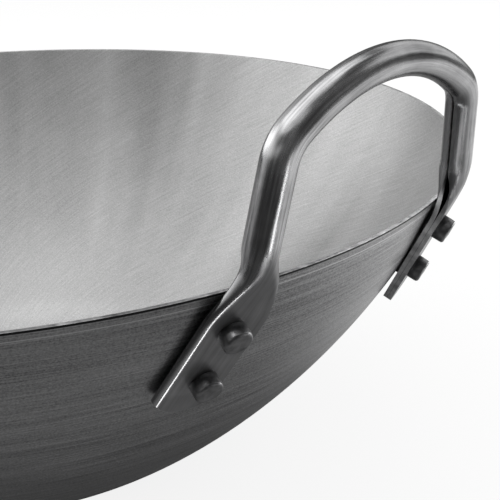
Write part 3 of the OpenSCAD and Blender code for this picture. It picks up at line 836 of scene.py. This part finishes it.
def makeCard(name, bm, tones, towards=(1, 0, 0), reach=(0.0, 1.0)):
    # a card that only shows in polished metal, from one tone to the other along `towards`
    material, tree = emptyMaterial(name + "Paper")
    place = addNode(tree, "ShaderNodeTexCoord").outputs["Object"]
    along = addNode(tree, "ShaderNodeVectorMath", {0: place, 1: towards}, operation="DOT_PRODUCT")
    tone = shadeBetween(tree, along.outputs["Value"], reach, tones, "SMOOTHSTEP")
    paper = addNode(tree, "ShaderNodeEmission", {"Color": tone, "Strength": 1.0})
    addNode(tree, "ShaderNodeOutputMaterial", {"Surface": paper.outputs[0]})
    card = makeObject(name, bm, [material])
    for ray in ("camera", "diffuse", "shadow", "transmission"):
        setattr(card, "visible_" + ray, False)


def makeGroundCard(name, radius, height, tones, towards, reach):
    bm = bmesh.new()
    bmesh.ops.create_circle(bm, cap_ends=True, segments=studio["cardSteps"], radius=radius)
    bmesh.ops.translate(bm, verts=bm.verts, vec=(0, 0, height))
    makeCard(name, bm, tones, towards, reach)


def makeWallCard(radius, height, tones, towards, reach):
    bm = bmesh.new()
    verts, edges = drawLine(bm, ((radius, 0, 0), (radius, 0, height)))
    spinRound(bm, verts + edges, studio["cardSteps"])
    makeCard("wallCard", bm, tones, towards, reach)


def makeFlag(name, tone, turnFrom, turnTo, nearAt, farAt, height):
    bm = bmesh.new()
    lift = studio["flagLift"]
    verts, edges = drawLine(bm, ((nearAt, 0, lift), (farAt, 0, lift), (farAt, 0, height)))
    bmesh.ops.rotate(bm, verts=bm.verts, cent=(0, 0, 0), matrix=Matrix.Rotation(math.radians(turnFrom), 3, "Z"))
    spinRound(bm, verts + edges, studio["flagSteps"], math.radians(turnTo - turnFrom))
    makeCard(name, bm, (tone, tone))


def makeCeilingCard(half, place, tone):
    bm = bmesh.new()
    bmesh.ops.create_grid(bm, x_segments=1, y_segments=1, size=half)
    bmesh.ops.translate(bm, verts=bm.verts, vec=place)
    makeCard("ceilingCard", bm, (tone, tone))


def addLamp(name, place, aim, size, brightness):
    lamp = bpy.data.lights.new(name, "AREA")
    lamp.shape = "RECTANGLE"
    lamp.size, lamp.size_y = size
    lamp.energy = math.pi * size[0] * size[1] * brightness
    obj = bpy.data.objects.new(name, lamp)
    obj.location = place
    obj.rotation_euler = (Vector(aim) - Vector(place)).to_track_quat("-Z", "Y").to_euler()
    obj.visible_camera = False
    scene.collection.objects.link(obj)
    return obj


def lightOnly(lamps, name, pieces):  # these lamps light these pieces alone
    group = bpy.data.collections.new(name)
    for piece in pieces:
        group.objects.link(piece)
    for lamp in lamps:
        lamp.light_linking.receiver_collection = group


def addStrip(name, start, end, width, brightness):  # a lamp on the floor, facing up
    start, end = Vector(start), Vector(end)
    place = ((start + end) / 2).to_3d() + Vector((0, 0, studio["stripLift"]))
    strip = addLamp(name, place, place + Vector((0, 0, 1)), ((end - start).length, width), brightness)
    strip.rotation_euler = (math.pi, 0, -math.atan2((end - start).y, (end - start).x))
    return strip


makeWorld()
makeFloor()
for name in studio["groundCards"]:
    makeGroundCard(name, *studio["groundCards"][name])
makeWallCard(*studio["wallCard"])
for name in studio["flags"]:
    makeFlag(name, *studio["flags"][name])
makeCeilingCard(*studio["ceilingCard"])
lamps = {name: addLamp(name, *values) for name, values in studio["lamps"].items()}
lightOnly([lamps["rimGlint"]], "bowlOnly", [bowlPiece])
lightOnly([lamps["rivetGlintHigh"], lamps["rivetGlintLow"]], "rivetsOnly", rivetPieces.values())
strips = [addStrip("lightStrip%d" % i, *values) for i, values in enumerate(studio["strips"])]
lightOnly(strips, "handlesOnly", handlePieces)   # the crisp line down the right leg and along its tab's fold
print("studio lit")


# how far each image point is from where its thing shows

reading = {
    "margin": 20,             # pixels round the photograph that still count
    "hiddenBy": 0.0004,       # metres: a corner this far behind another face is hidden
    "loopAbove": 0.04, "tabBelow": 0.015, "rimWithin": 0.0001,   # metres from the rim's height
}


def shownPieces():
    depsgraph = bpy.context.evaluated_depsgraph_get()
    corners, faces, parts = [], [], {}
    for piece in [bowlPiece, handlePieces[0]] + list(rivetPieces.values()):
        finished = piece.evaluated_get(depsgraph)
        mesh = finished.to_mesh()
        base = len(corners)
        corners += [v.co.copy() for v in mesh.vertices]
        faces += [[base + i for i in polygon.vertices] for polygon in mesh.polygons]
        edges = [(base + e.vertices[0], base + e.vertices[1]) for e in mesh.edges]
        parts[piece.name] = (range(base, len(corners)), edges)
        finished.to_mesh_clear()
    tree = BVHTree.FromPolygons(corners, faces)
    eye, margin = cameraSetup["place"], reading["margin"]
    seen = {}
    for i, corner in enumerate(corners):
        x, y = inImage(corner)
        if -margin < x < frameWidth + margin and -margin < y < frameHeight + margin:
            away = (corner - eye).length
            hit = tree.ray_cast(eye, (corner - eye).normalized(), away)
            if hit[0] is None or hit[3] > away - reading["hiddenBy"]:
                seen[i] = (x, y)
    return corners, parts, seen


def measurePoints():
    corners, pieces, seen = shownPieces()
    tabLevel = bowl["depth"] - reading["tabBelow"]
    tests = {
        "bowl": ("bowlSheet", lambda p: True), "wall": ("bowlSheet", lambda p: True),
        "rim": ("bowlSheet", lambda p: p.z > bowl["depth"] - reading["rimWithin"] and p.x > p.y),
        "handle": ("handleRightStrip", lambda p: True),
        "loop": ("handleRightStrip", lambda p: p.z > bowl["depth"] + reading["loopAbove"]),
        "nearTab": ("handleRightStrip", lambda p: p.z < tabLevel and p.y < 0),
        "farTab": ("handleRightStrip", lambda p: p.z < tabLevel and p.y > 0),
    }
    ways = {"top": (1, 1), "bottom": (1, -1), "left": (0, 1), "right": (0, -1),   # x or y, and its sign
            "above": (1, 1), "below": (1, -1), "before": (0, 1)}
    report = {}
    for name, (x, y, what, rule, reach) in imagePoints.items():
        pieceName, test = tests.get(what, (what, lambda p: True))
        run, edges = pieces[pieceName]
        spots = [seen[i] for i in run if i in seen and test(corners[i])]
        k, sign = ways.get(rule, (0, 1))
        if rule == "placed":
            shows = inImage(placeOn(wallTree, x, y))
        elif rule == "middle":
            shows = [(min(p[i] for p in spots) + max(p[i] for p in spots)) / 2 for i in (0, 1)]
        elif reach:
            near = [p for p in spots if abs(p[1 - k] - (x, y)[1 - k]) < reach]
            shows = min(near, key=lambda p: sign * p[k])
        else:
            at = (x, y)[1 - k]
            crossings = []
            for a, b in edges:
                if a in seen and b in seen and test(corners[a]) and test(corners[b]):
                    p, q = seen[a], seen[b]
                    if min(p[1 - k], q[1 - k]) <= at < max(p[1 - k], q[1 - k]):
                        crossings.append(blendTo(p[k], q[k], (at - p[1 - k]) / (q[1 - k] - p[1 - k])))
            edge = sign * min(sign * c for c in crossings)
            shows = (at, edge) if k == 1 else (edge, at)
        report[name] = {"dx": round(shows[0] - x, 1), "dy": round(shows[1] - y, 1)}
    return report


measurePoints()
print("image points measured")

scene.view_settings.view_transform = "Standard"
